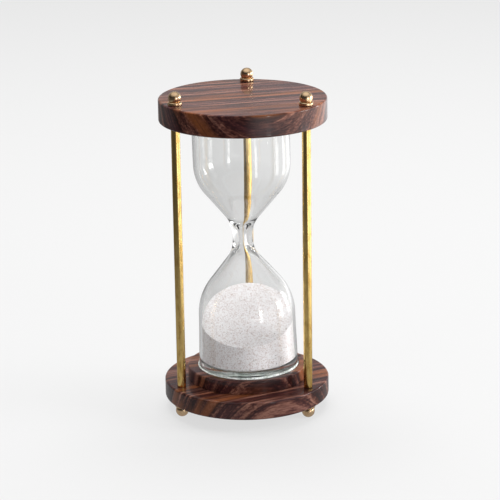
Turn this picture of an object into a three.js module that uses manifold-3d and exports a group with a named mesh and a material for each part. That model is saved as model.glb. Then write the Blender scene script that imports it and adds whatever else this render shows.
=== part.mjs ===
// A sand timer: a blown glass held between two turned wooden plates by three
// brass pillars, each clamped by a ball nut and a ring at both of its ends.
//
// Millimetres, +Z up. The origin is the middle of the circle on which the three
// foot nuts stand. One pillar is at the back, on +Y, and two are at the front.

import Module from 'manifold-3d';
import * as THREE from 'three';
import { mergeVertices } from 'three/addons/utils/BufferGeometryUtils.js';

const wasm = await Module();
wasm.setup();

// ---------------------------------------------------------------- driving sizes

// Wooden plates and the plinth glued on the lower one.
const TOP_PLATE_THICKNESS = 10.2;
const BASE_PLATE_THICKNESS = 8.3;
const PLATE_MARGIN = 4.5;
const PLATE_EDGE_ROUND = 0.8;
const PLINTH_RIM = 3;
const PLINTH_HEIGHT = 6;
const PLINTH_EDGE_ROUND = 0.6;
const SOCKET_DEPTH = 3;
const PAD_THICKNESS = 0.6;

// Pillars: a brass tube slipped over a threaded tie rod.
const PILLAR_LENGTH = 122;
const PILLAR_WALL = 0.5;
const PLINTH_TO_PILLAR = 4.3;
const TIE_ROD_RADIUS = 1.25;
const TIE_ROD_CHAMFER = 0.2;

// Ring and ball nut at each end of a pillar.
const RING_WIDTH = 1.75;
const RING_HEIGHT = 1.6;
const RING_EDGE_ROUND = 0.7;
const BALL_RADIUS = 2.95;
const BALL_SEAT_CUT = 1.35;
const BALL_END_CUT = 0.15;
const THREAD_ENGAGEMENT = 2.8;

// Glass.
const GLASS_WALL = 1.4;
const GLASS_FLOOR = 4.1;
const GLASS_ROOF = 1.8;
const FOOT_RADIUS = 22.9;
const FOOT_FLARE = 0.9;
const UPPER_RADIUS = 22.1;
const NECK_RADIUS = 4.95;
const NECK_LENGTH = 11.7;
const NECK_ROUND = 6.5;
const NECK_ABOVE_MIDDLE = 3;
const CONE_RISE = 21.35;
const LOWER_SHOULDER_ROUND = 26;
const UPPER_SHOULDER_ROUND = 20;
const END_ROUND = 2.4;
const INNER_CORNER_ROUND = 1.6;
const ORIFICE_RADIUS = 1.1;
const ORIFICE_ROUND = 3;
const FILL_HOLE_RADIUS = 4.5;
const STOPPER_LENGTH = 5;
const STOPPER_TAPER = 0.4;

// The glass is set by hand: its foot stands off centre towards +X, and its top
// towards -X, so it leans a little.
const FOOT_SHIFT = 1;
const TOP_SHIFT = 1.3;

// Sand, at rest in the lower bulb with its surface sloping down to the front.
const SAND_DEPTH = 21.3;
const SAND_SLOPE = THREE.MathUtils.degToRad(23.7);

// Clearances between neighbouring pieces.
const SEAT_GAP = 0.05;
const PAD_GAP = 0.1;
const BORE_CLEARANCE = 0.25;
const THREAD_CLEARANCE = 0.2;
const SOCKET_CLEARANCE = 0.3;
const GLUE_GAP = 0.2;
const GLUE_PROUD = 0.4;
const STOPPER_CLEARANCE = 0.2;
const SAND_GAP = 0.2;

// Facets: sides of a full turn, and how far a facet may lie from a true round.
const PLATE_SIDES = 60;
const GLASS_SIDES = 36;
const PILLAR_SIDES = 16;
const NUT_SIDES = 16;
const HOLE_SIDES = 12;
const ROUND_ERROR = 0.07;
const BALL_STEPS = 6;

// How far a cutter runs past the faces that it cuts through.
const DRILL_OVERRUN = 1;

// ---------------------------------------------------------------- worked-out places

const BORE_RADIUS = TIE_ROD_RADIUS + BORE_CLEARANCE;
const THREAD_RADIUS = TIE_ROD_RADIUS + THREAD_CLEARANCE;
const PILLAR_RADIUS = BORE_RADIUS + PILLAR_WALL;
const RING_RADIUS = BORE_RADIUS + RING_WIDTH;

// Along a tie rod, outwards from a plate's face.
const BALL_CENTRE = RING_HEIGHT + BALL_RADIUS - BALL_SEAT_CUT;
const NUT_HEIGHT = BALL_CENTRE + BALL_RADIUS - BALL_END_CUT;
const TIE_ROD_REACH = RING_HEIGHT + THREAD_ENGAGEMENT;

// Upwards from the surface that the feet stand on.
const BASE_UNDERSIDE = NUT_HEIGHT;
const BASE_TOP = BASE_UNDERSIDE + BASE_PLATE_THICKNESS;
const PLINTH_TOP = BASE_TOP + PLINTH_HEIGHT;
const PLINTH_FLOOR = PLINTH_TOP - SOCKET_DEPTH;
const TOP_UNDERSIDE = BASE_TOP + PILLAR_LENGTH;
const SOCKET_ROOF = TOP_UNDERSIDE + SOCKET_DEPTH;
const TOP_FACE = TOP_UNDERSIDE + TOP_PLATE_THICKNESS;

// The lean lifts one side of the foot and of the top off their pads.
const GLASS_LEAN = Math.atan2(FOOT_SHIFT + TOP_SHIFT, SOCKET_ROOF - PLINTH_FLOOR);
const SEAT_SPACE = PAD_THICKNESS + 2 * PAD_GAP + FOOT_RADIUS * Math.sin(GLASS_LEAN);
const GLASS_FOOT = PLINTH_FLOOR + SEAT_SPACE;
const GLASS_LENGTH = SOCKET_ROOF - SEAT_SPACE - GLASS_FOOT;
const LEAN_PIVOT = GLASS_LENGTH * FOOT_SHIFT / (FOOT_SHIFT + TOP_SHIFT);
const NECK_CENTRE = GLASS_LENGTH / 2 + NECK_ABOVE_MIDDLE;
const SAND_FLOOR = GLASS_FLOOR + SAND_GAP;

// Outwards from the middle: glass, socket, plinth, pillars, plates.
const LOWER_RADIUS = FOOT_RADIUS - FOOT_FLARE;
const BASE_SOCKET_RADIUS = FOOT_RADIUS + FOOT_SHIFT + SOCKET_CLEARANCE;
const TOP_SOCKET_RADIUS = UPPER_RADIUS + TOP_SHIFT + SOCKET_CLEARANCE;
const PLINTH_RADIUS = Math.max(BASE_SOCKET_RADIUS, TOP_SOCKET_RADIUS) + PLINTH_RIM;
const PILLAR_CIRCLE_RADIUS = PLINTH_RADIUS + PLINTH_TO_PILLAR + PILLAR_RADIUS;
const PLATE_RADIUS = PILLAR_CIRCLE_RADIUS + PLATE_MARGIN;
const BASE_PAD_RADIUS = FOOT_RADIUS - END_ROUND;
const TOP_PAD_RADIUS = UPPER_RADIUS - END_ROUND;

const PILLARS = [
  { name: 'back', angle: 90 },
  { name: 'left', angle: 210 },
  { name: 'right', angle: 330 },
].map(({ name, angle }) => ({ name, angle: THREE.MathUtils.degToRad(angle) }));

const WOOD = { color: 0x5a2f1f, roughness: 0.3, metalness: 0 };
const PILLAR_BRASS = { color: 0xb08a3c, roughness: 0.4, metalness: 1 };
const NUT_BRASS = { color: 0xd9a35c, roughness: 0.2, metalness: 1 };
const ROD_BRASS = { color: 0xa8843e, roughness: 0.5, metalness: 1 };
const GLASS = { color: 0xe6efee, roughness: 0.02, metalness: 0, transparent: true, opacity: 0.35 };
const SAND = { color: 0xe4dcdb, roughness: 0.95, metalness: 0 };
const GLUE = { color: 0xc9cfc8, roughness: 0.4, metalness: 0 };
const CORK = { color: 0xb08a62, roughness: 0.9, metalness: 0 };

// ---------------------------------------------------------------- outlines

// Replaces the corner between two sides by points on a round tangent to both.
function roundCorner(before, corner, after, radius) {
  const back = before.clone().sub(corner).normalize();
  const ahead = after.clone().sub(corner).normalize();
  const half = Math.acos(THREE.MathUtils.clamp(back.dot(ahead), -1, 1)) / 2;
  const toTangent = radius / Math.tan(half);
  const centre = back.clone().add(ahead).setLength(radius / Math.sin(half)).add(corner);
  const first = back.clone().multiplyScalar(toTangent).add(corner).sub(centre);
  const turn = (Math.PI - 2 * half) * Math.sign(ahead.cross(back));
  const step = 2 * Math.acos(Math.max(0, 1 - ROUND_ERROR / radius));
  const steps = Math.ceil(Math.abs(turn) / step);
  const points = [];
  for (let index = 0; index <= steps; index += 1) {
    const point = first.clone().rotateAround(new THREE.Vector2(), (turn * index) / steps);
    points.push(point.add(centre));
  }
  return points;
}

// An outline in radius and height from corners [radius, height, round]; a corner
// with no round stays sharp.
function outline(corners) {
  const sharp = corners.map(([radius, height]) => new THREE.Vector2(radius, height));
  return corners.flatMap(([, , round], index) => {
    if (!round) {
      return [sharp[index]];
    }
    return roundCorner(sharp[index - 1], sharp[index], sharp[index + 1], round);
  });
}

// The same outline closed on itself, for a ring.
function closedOutline(corners) {
  const points = outline(corners);
  return [...points, points[0].clone()];
}

// Turns an outline about the vertical axis.
function turned(points, sides) {
  return new THREE.LatheGeometry(points, sides).rotateX(Math.PI / 2);
}

// ---------------------------------------------------------------- joining and cutting

// A geometry as a solid, with its shared corners merged.
function toSolid(geometry) {
  const bare = geometry.clone();
  bare.deleteAttribute('normal');
  bare.deleteAttribute('uv');
  const merged = mergeVertices(bare);
  return new wasm.Manifold(new wasm.Mesh({
    numProp: 3,
    vertProperties: Float32Array.from(merged.attributes.position.array),
    triVerts: Uint32Array.from(merged.index.array),
  }));
}

// A solid back as a geometry.
function toGeometry(solid) {
  const mesh = solid.getMesh();
  const geometry = new THREE.BufferGeometry();
  geometry.setAttribute('position', new THREE.BufferAttribute(mesh.vertProperties, 3));
  geometry.setIndex(new THREE.BufferAttribute(mesh.triVerts, 1));
  geometry.computeVertexNormals();
  return geometry;
}

// Cuts the three pillar holes through a plate that lies between two heights.
function drilled(plate, low, high) {
  const reach = high - low + 2 * DRILL_OVERRUN;
  const solid = PILLARS.reduce((wood, pillar) => {
    const hole = new THREE.CylinderGeometry(BORE_RADIUS, BORE_RADIUS, reach, HOLE_SIDES);
    hole.rotateX(Math.PI / 2);
    hole.translate(...onPillarCircle(pillar), (low + high) / 2);
    return wood.subtract(toSolid(hole));
  }, toSolid(plate));
  return toGeometry(solid);
}

// Where a pillar stands, as [x, y].
function onPillarCircle(pillar) {
  return [PILLAR_CIRCLE_RADIUS * Math.cos(pillar.angle), PILLAR_CIRCLE_RADIUS * Math.sin(pillar.angle)];
}

// A named mesh with a finish of its own.
function piece(name, geometry, finish) {
  const mesh = new THREE.Mesh(geometry, new THREE.MeshStandardMaterial(finish));
  mesh.name = name;
  return mesh;
}

// ---------------------------------------------------------------- wood

// The upper plate, with a socket in its underside for the top of the glass.
function topPlate() {
  const outside = outline([
    [0, SOCKET_ROOF],
    [TOP_SOCKET_RADIUS, SOCKET_ROOF],
    [TOP_SOCKET_RADIUS, TOP_UNDERSIDE],
    [PLATE_RADIUS, TOP_UNDERSIDE, PLATE_EDGE_ROUND],
    [PLATE_RADIUS, TOP_FACE, PLATE_EDGE_ROUND],
    [0, TOP_FACE],
  ]);
  const plate = drilled(turned(outside, PLATE_SIDES), TOP_UNDERSIDE, TOP_FACE);
  return piece('top_plate', plate, WOOD);
}

// The lower plate.
function basePlate() {
  const outside = outline([
    [0, BASE_UNDERSIDE],
    [PLATE_RADIUS, BASE_UNDERSIDE, PLATE_EDGE_ROUND],
    [PLATE_RADIUS, BASE_TOP, PLATE_EDGE_ROUND],
    [0, BASE_TOP],
  ]);
  const plate = drilled(turned(outside, PLATE_SIDES), BASE_UNDERSIDE, BASE_TOP);
  return piece('base_plate', plate, WOOD);
}

// The plinth on the lower plate, with a socket for the foot of the glass.
function plinth() {
  const outside = outline([
    [0, BASE_TOP + SEAT_GAP],
    [PLINTH_RADIUS, BASE_TOP + SEAT_GAP],
    [PLINTH_RADIUS, PLINTH_TOP, PLINTH_EDGE_ROUND],
    [BASE_SOCKET_RADIUS, PLINTH_TOP],
    [BASE_SOCKET_RADIUS, PLINTH_FLOOR],
    [0, PLINTH_FLOOR],
  ]);
  return piece('base_plinth', turned(outside, PLATE_SIDES), WOOD);
}

// A thin cork disc that the glass bears on, from its lower face up.
function seatPad(name, radius, low) {
  const outside = outline([
    [0, low],
    [radius, low],
    [radius, low + PAD_THICKNESS],
    [0, low + PAD_THICKNESS],
  ]);
  return piece(name, turned(outside, GLASS_SIDES), CORK);
}

// ---------------------------------------------------------------- glass and sand

// The straight flank of a bulb's cone. `side` is 1 above the neck and -1 below.
// `inset` is how far inside the outer face a parallel flank lies.
function flank(side, bodyRadius, inset) {
  const corner = NECK_CENTRE + side * NECK_LENGTH / 2;
  const slope = (bodyRadius - NECK_RADIUS) / CONE_RISE;
  const shift = inset * Math.hypot(1, slope);
  return (radius) => corner + side * (radius - NECK_RADIUS + shift) / slope;
}

// Corners of the outside of the glass, from the middle of its foot to its fill
// hole, grown outwards by `grow`.
function glassOutside(grow = 0) {
  const lower = flank(-1, LOWER_RADIUS, -grow);
  const upper = flank(1, UPPER_RADIUS, -grow);
  const neck = NECK_RADIUS + grow;
  return [
    [0, -grow],
    [FOOT_RADIUS + grow, -grow, END_ROUND + grow],
    [LOWER_RADIUS + grow, lower(LOWER_RADIUS + grow), LOWER_SHOULDER_ROUND + grow],
    [neck, lower(neck), NECK_ROUND - grow],
    [neck, upper(neck), NECK_ROUND - grow],
    [UPPER_RADIUS + grow, upper(UPPER_RADIUS + grow), UPPER_SHOULDER_ROUND + grow],
    [UPPER_RADIUS + grow, GLASS_LENGTH + grow, END_ROUND + grow],
  ];
}

// Corners of the lower bulb's inner face from its floor to its shoulder, and the
// flank above it, drawn in from the glass by `gap`.
function lowerInside(gap = 0) {
  const inset = GLASS_WALL + gap;
  const foot = FOOT_RADIUS - inset;
  const body = LOWER_RADIUS - inset;
  const rise = flank(-1, LOWER_RADIUS, inset);
  const corners = [
    [0, GLASS_FLOOR + gap],
    [foot, GLASS_FLOOR + gap, INNER_CORNER_ROUND],
    [body, rise(body), LOWER_SHOULDER_ROUND - inset],
  ];
  return { corners, rise };
}

// The blown glass: two bulbs and a neck in one piece, open at the fill hole.
function glass() {
  const upperRise = flank(1, UPPER_RADIUS, GLASS_WALL);
  const upperBody = UPPER_RADIUS - GLASS_WALL;
  const roof = GLASS_LENGTH - GLASS_ROOF;
  const { corners: floorToShoulder, rise: lowerRise } = lowerInside();
  const wall = outline([
    ...glassOutside(),
    [FILL_HOLE_RADIUS, GLASS_LENGTH],
    [FILL_HOLE_RADIUS, roof],
    [upperBody, roof, INNER_CORNER_ROUND],
    [upperBody, upperRise(upperBody), UPPER_SHOULDER_ROUND - GLASS_WALL],
    [ORIFICE_RADIUS, upperRise(ORIFICE_RADIUS), ORIFICE_ROUND],
    [ORIFICE_RADIUS, lowerRise(ORIFICE_RADIUS), ORIFICE_ROUND],
    ...floorToShoulder.reverse(),
  ]);
  return piece('glass_bulb', turned(wall, GLASS_SIDES), GLASS);
}

// The cork that closes the fill hole, flush with the end of the glass.
function stopper() {
  const wide = FILL_HOLE_RADIUS - STOPPER_CLEARANCE;
  const outside = outline([
    [0, GLASS_LENGTH - STOPPER_LENGTH],
    [wide - STOPPER_TAPER, GLASS_LENGTH - STOPPER_LENGTH],
    [wide, GLASS_LENGTH],
    [0, GLASS_LENGTH],
  ]);
  return piece('fill_stopper', turned(outside, PILLAR_SIDES), CORK);
}

// The sand: the lower bulb's inside, cut off by the sloping surface.
function sand() {
  const { corners, rise } = lowerInside(SAND_GAP);
  const fill = outline([...corners, [NECK_RADIUS, rise(NECK_RADIUS)], [0, rise(NECK_RADIUS)]]);
  const reach = 4 * FOOT_RADIUS;
  const above = new THREE.BoxGeometry(reach, reach, reach);
  above.translate(0, 0, reach / 2);
  above.rotateX(SAND_SLOPE);
  above.translate(0, 0, SAND_FLOOR + SAND_DEPTH);
  const solid = toSolid(turned(fill, GLASS_SIDES)).subtract(toSolid(above));
  return piece('sand', toGeometry(solid), SAND);
}

// Sets a piece that is measured from the foot of the glass into the leaning group.
function onLean(mesh) {
  mesh.position.z = -LEAN_PIVOT;
  return mesh;
}

// The group that holds the glass and what is in it, tipped by the lean.
function glasswork() {
  const group = new THREE.Group();
  group.position.z = GLASS_FOOT + LEAN_PIVOT;
  group.rotation.y = -GLASS_LEAN;
  group.add(onLean(glass()), onLean(stopper()), onLean(sand()));
  return group;
}

// The room that the leaning glass takes, with a gap round it, in the frame.
function glassRoom() {
  const corners = glassOutside(GLUE_GAP);
  const filled = outline([...corners, [0, GLASS_LENGTH + GLUE_GAP]]);
  const room = turned(filled, GLASS_SIDES);
  room.translate(0, 0, -LEAN_PIVOT);
  room.rotateY(-GLASS_LEAN);
  room.translate(0, 0, GLASS_FOOT + LEAN_PIVOT);
  return toSolid(room);
}

// The bead of glue between the glass and the wall of its socket, round a seat pad.
function glueBead(name, padRadius, socketRadius, low, high) {
  const inner = padRadius + PAD_GAP;
  const outer = socketRadius - PAD_GAP;
  const band = closedOutline([[inner, low], [outer, low], [outer, high], [inner, high]]);
  const solid = toSolid(turned(band, GLASS_SIDES)).subtract(glassRoom());
  return piece(name, toGeometry(solid), GLUE);
}

// The bead round the foot, standing a little proud of the plinth.
function baseGlue() {
  const low = PLINTH_FLOOR + PAD_GAP;
  return glueBead('base_glue', BASE_PAD_RADIUS, BASE_SOCKET_RADIUS, low, PLINTH_TOP + GLUE_PROUD);
}

// The bead round the upper end, standing a little proud of the plate's underside.
function topGlue() {
  const high = SOCKET_ROOF - PAD_GAP;
  return glueBead('top_glue', TOP_PAD_RADIUS, TOP_SOCKET_RADIUS, TOP_UNDERSIDE - GLUE_PROUD, high);
}

// ---------------------------------------------------------------- brass

// The tube between the plates.
function pillarTube(pillar) {
  const low = BASE_TOP + SEAT_GAP;
  const high = TOP_UNDERSIDE - SEAT_GAP;
  const wall = closedOutline([
    [BORE_RADIUS, low],
    [PILLAR_RADIUS, low],
    [PILLAR_RADIUS, high],
    [BORE_RADIUS, high],
  ]);
  const mesh = piece(`pillar_${pillar.name}`, turned(wall, PILLAR_SIDES), PILLAR_BRASS);
  mesh.position.set(...onPillarCircle(pillar), 0);
  return mesh;
}

// The threaded rod inside a pillar, reaching into the nuts at both ends.
function tieRod(pillar) {
  const low = BASE_UNDERSIDE - TIE_ROD_REACH;
  const high = TOP_FACE + TIE_ROD_REACH;
  const end = TIE_ROD_RADIUS - TIE_ROD_CHAMFER;
  const outside = outline([
    [0, low],
    [end, low],
    [TIE_ROD_RADIUS, low + TIE_ROD_CHAMFER],
    [TIE_ROD_RADIUS, high - TIE_ROD_CHAMFER],
    [end, high],
    [0, high],
  ]);
  const mesh = piece(`tie_rod_${pillar.name}`, turned(outside, HOLE_SIDES), ROD_BRASS);
  mesh.position.set(...onPillarCircle(pillar), 0);
  return mesh;
}

// The ring between a plate and a ball nut, from the plate's face outwards.
function ringGeometry() {
  const section = closedOutline([
    [BORE_RADIUS, SEAT_GAP],
    [RING_RADIUS, SEAT_GAP, RING_EDGE_ROUND],
    [RING_RADIUS, RING_HEIGHT, RING_EDGE_ROUND],
    [BORE_RADIUS, RING_HEIGHT],
  ]);
  return turned(section, NUT_SIDES);
}

// The ball nut: a ball with a flat on each end and a blind threaded hole.
function ballNutGeometry() {
  const seat = RING_HEIGHT + SEAT_GAP;
  const holeEnd = TIE_ROD_REACH + THREAD_CLEARANCE;
  const from = Math.asin((seat - BALL_CENTRE) / BALL_RADIUS);
  const to = Math.asin((NUT_HEIGHT - BALL_CENTRE) / BALL_RADIUS);
  const ball = Array.from({ length: BALL_STEPS + 1 }, (_, index) => {
    const angle = THREE.MathUtils.lerp(from, to, index / BALL_STEPS);
    return [BALL_RADIUS * Math.cos(angle), BALL_CENTRE + BALL_RADIUS * Math.sin(angle)];
  });
  const section = outline([
    [0, holeEnd],
    [THREAD_RADIUS, holeEnd],
    [THREAD_RADIUS, seat],
    ...ball,
    [0, NUT_HEIGHT],
  ]);
  return turned(section, NUT_SIDES);
}

// The ring and the ball nut on one end of a pillar. A foot is the same pair
// turned over.
function endPair(pillar, end) {
  const isFoot = end === 'foot';
  const group = new THREE.Group();
  group.position.set(...onPillarCircle(pillar), isFoot ? BASE_UNDERSIDE : TOP_FACE);
  group.rotation.x = isFoot ? Math.PI : 0;
  group.add(
    piece(`${end}_ring_${pillar.name}`, ringGeometry(), NUT_BRASS),
    piece(`${end}_ball_${pillar.name}`, ballNutGeometry(), NUT_BRASS),
  );
  return group;
}

// ---------------------------------------------------------------- the whole timer

const timer = new THREE.Group();
timer.add(
  topPlate(),
  basePlate(),
  plinth(),
  seatPad('base_seat_pad', BASE_PAD_RADIUS, PLINTH_FLOOR + PAD_GAP),
  seatPad('top_seat_pad', TOP_PAD_RADIUS, SOCKET_ROOF - PAD_GAP - PAD_THICKNESS),
  glasswork(),
  baseGlue(),
  topGlue(),
);
for (const pillar of PILLARS) {
  timer.add(pillarTube(pillar), tieRod(pillar), endPair(pillar, 'top'), endPair(pillar, 'foot'));
}

export default timer;
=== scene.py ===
"""Looks of a sand timer: round rosewood plates, brass pillars with ball nuts, blown glass and pale sand."""

import logging
import math
from dataclasses import dataclass
from enum import Enum
from typing import Any, Sequence

import bmesh
import bpy
import numpy as np
from mathutils import Matrix, Vector

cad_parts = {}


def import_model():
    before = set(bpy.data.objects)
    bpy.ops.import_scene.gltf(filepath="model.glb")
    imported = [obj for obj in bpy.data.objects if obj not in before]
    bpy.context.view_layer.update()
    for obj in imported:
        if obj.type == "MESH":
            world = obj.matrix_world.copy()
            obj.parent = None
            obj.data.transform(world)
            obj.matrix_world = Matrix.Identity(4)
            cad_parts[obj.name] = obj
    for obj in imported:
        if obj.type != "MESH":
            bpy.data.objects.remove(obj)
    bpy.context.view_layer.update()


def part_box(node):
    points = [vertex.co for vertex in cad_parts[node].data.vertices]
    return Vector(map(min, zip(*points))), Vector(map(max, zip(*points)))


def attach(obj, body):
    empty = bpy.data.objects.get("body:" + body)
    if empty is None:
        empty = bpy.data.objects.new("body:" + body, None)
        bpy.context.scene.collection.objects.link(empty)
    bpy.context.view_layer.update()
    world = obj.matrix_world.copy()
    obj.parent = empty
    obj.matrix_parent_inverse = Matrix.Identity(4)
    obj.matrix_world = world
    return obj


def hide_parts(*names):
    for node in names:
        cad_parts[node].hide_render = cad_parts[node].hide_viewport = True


MM = 0.001
CRISP = 38.0
DRILL_SIDES = 40
LOG = logging.getLogger("sand_timer")

Piece = bpy.types.Object
Node = bpy.types.Node
Socket = bpy.types.NodeSocket
Points = np.ndarray
Pair = tuple[float, float]
Triple = tuple[float, float, float]
Colour = tuple[float, float, float, float]


# ---------------------------------------------------------------- outlines and surfaces


@dataclass(frozen=True)
class Corner:
    """One corner of a turned outline: distance from the axis, height, and the radius that softens it."""

    out: float
    up: float
    soft: float = 0.0


def run(start: Points, end: Points, longest: float, near: float) -> Points:
    """Points of one straight run: both ends, a guard point close to each end, and even steps between.

    Args:
        start: First point of the run.
        end: Last point of the run.
        longest: Longest step allowed.
        near: Distance of the guard points from the ends, which keeps the shading of the flat part flat.

    Returns:
        The points in order, ends included.
    """
    length = float(np.linalg.norm(end - start))
    if length < 1e-9:
        return start[None, :]
    share = np.linspace(0.0, 1.0, max(1, math.ceil(length / longest)) + 1)
    if length > 4.0 * near:
        share = np.unique(np.concatenate([share, [near / length, 1.0 - near / length]]))
    return start + share[:, None] * (end - start)


def outline(corners: Sequence[Corner], longest: float, step: float = 9.0,
            near: float = 0.12 * MM) -> Points:
    """A turned outline with its corners rounded.

    At each corner an arc of the stated radius touches both sides: it starts and ends at
    radius / tan(half the corner's angle) from the corner, and its centre is on the bisector.

    Args:
        corners: The corners in order.
        longest: Longest straight step.
        step: Degrees turned by one step of an arc.
        near: Distance of the guard points from the ends of a straight run.

    Returns:
        An array of (distance from the axis, height) rows.
    """
    points = np.array([(c.out, c.up) for c in corners])
    pieces: list[Points] = []
    last = points[0]
    for before, here, after, corner in zip(points[:-2], points[1:-1], points[2:], corners[1:-1]):
        back = (before - here) / np.linalg.norm(before - here)
        ahead = (after - here) / np.linalg.norm(after - here)
        angle = math.acos(float(np.clip(back @ ahead, -1.0, 1.0)))
        if corner.soft <= 0.0 or angle > math.pi - 1e-3:
            pieces.append(run(last, here, longest, near)[:-1])
            last = here
            continue
        reach = corner.soft / math.tan(angle / 2)
        middle = here + (back + ahead) / np.linalg.norm(back + ahead) * corner.soft / math.sin(angle / 2)
        first, final = here + back * reach, here + ahead * reach
        pieces.append(run(last, first, longest, near)[:-1])
        turns = np.linspace(0.0, 1.0, max(3, math.ceil(math.degrees(math.pi - angle) / step)) + 1)[:, None]
        sweep = math.pi - angle
        a, b = first - middle, final - middle
        arc = middle + (np.sin((1 - turns) * sweep) * a + np.sin(turns * sweep) * b) / math.sin(sweep)
        pieces.append(arc[:-1])
        last = final
    pieces.append(run(last, points[-1], longest, near))
    return np.concatenate(pieces)


def bearings(count: int) -> Points:
    """Even angles round the axis, in radians."""
    return np.arange(count) * (2 * math.pi / count)


def swept(out: Any, angle: Points, up: Any, centre: Pair = (0.0, 0.0)) -> Points:
    """Points at (cx + out cos a, cy + out sin a, up).

    Args:
        out: Distances from the upright axis.
        angle: The columns' angles.
        up: Heights.
        centre: Where the axis stands.

    Returns:
        A grid of points, rows by columns by three.
    """
    level = up + 0.0 * (out * angle)
    return np.stack([centre[0] + out * np.cos(angle), centre[1] + out * np.sin(angle), level], axis=-1)


def turned(profile: Points, around: int, centre: Pair = (0.0, 0.0)) -> Points:
    """The surface of a turned outline: a row per outline point (out, up), a column per angle."""
    return swept(profile[:, :1], bearings(around), profile[:, 1:], centre)


def shell(name: str, grid: Points, ring: bool = False, sharp: float = CRISP) -> Piece:
    """Makes an object from a grid that closes round its columns.

    Args:
        name: The piece's name.
        grid: Points, rows by columns by three.
        ring: True if the last row also joins the first.
        sharp: Degrees past which an edge between two faces stays crisp.

    Returns:
        The object, with poles and seams welded and faces outwards.
    """
    rows, columns = grid.shape[:2]
    upper = np.arange(rows if ring else rows - 1)[:, None]
    left = np.arange(columns)[None, :]
    lower, right = (upper + 1) % rows, (left + 1) % columns
    faces = np.stack([upper * columns + left, upper * columns + right,
                      lower * columns + right, lower * columns + left], axis=-1)
    mesh = bpy.data.meshes.new(name)
    mesh.from_pydata(grid.reshape(-1, 3).tolist(), [], faces.reshape(-1, 4).tolist())
    work = bmesh.new()
    work.from_mesh(mesh)
    bmesh.ops.remove_doubles(work, verts=work.verts, dist=2e-8)
    bmesh.ops.dissolve_degenerate(work, edges=work.edges, dist=1e-9)
    bmesh.ops.recalc_face_normals(work, faces=work.faces)
    work.to_mesh(mesh)
    work.free()
    mesh.shade_smooth()
    mesh.set_sharp_from_angle(angle=math.radians(sharp))
    piece = bpy.data.objects.new(name, mesh)
    bpy.context.scene.collection.objects.link(piece)
    return piece


def drill(piece: Piece, centres: Sequence[Pair], radius: float,
          low: float, high: float) -> None:
    """Cuts straight upright holes through a piece.

    Args:
        piece: The piece, changed in place.
        centres: Where the holes stand.
        radius: Radius of each hole.
        low: Height under the piece where the drill starts.
        high: Height over the piece where it ends.
    """
    drills = []
    for number, centre in enumerate(centres):
        profile = np.array([(0.0, low), (radius, low), (radius, high), (0.0, high)])
        drills.append(shell(f"drill_{number}", turned(profile, DRILL_SIDES, centre)))
        cut = piece.modifiers.new(f"hole_{number}", "BOOLEAN")
        cut.operation, cut.solver, cut.object = "DIFFERENCE", "EXACT", drills[-1]
    solid = bpy.data.meshes.new_from_object(piece.evaluated_get(bpy.context.evaluated_depsgraph_get()))
    piece.modifiers.clear()
    old, piece.data = piece.data, solid
    solid.name = piece.name
    bpy.data.meshes.remove(old)
    for tool in drills:
        spent = tool.data
        bpy.data.objects.remove(tool)
        bpy.data.meshes.remove(spent)
    solid.shade_smooth()
    solid.set_sharp_from_angle(angle=math.radians(CRISP))


def ripple(angle: Points, seed: int, first: int, last: int, fall: float = 1.0) -> Points:
    """An uneven closed wave: the sum of sin(k a + phase) / k^fall over k, scaled to about -1...1.

    Args:
        angle: Angles round the axis.
        seed: Chooses the phases.
        first: Lowest number of waves in a turn.
        last: Highest number of waves in a turn.
        fall: How fast the quicker waves weaken.

    Returns:
        The wave's value at each angle.
    """
    chance = np.random.default_rng(seed)
    count = np.arange(first, last + 1)
    phase = chance.uniform(0, 2 * math.pi, count.size)
    size = chance.uniform(0.4, 1.0, count.size) / count**fall
    wave = (np.sin(angle[..., None] * count + phase) * size).sum(-1)
    return wave / np.abs(size).sum() * 1.8


# ---------------------------------------------------------------- shader nodes


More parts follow.
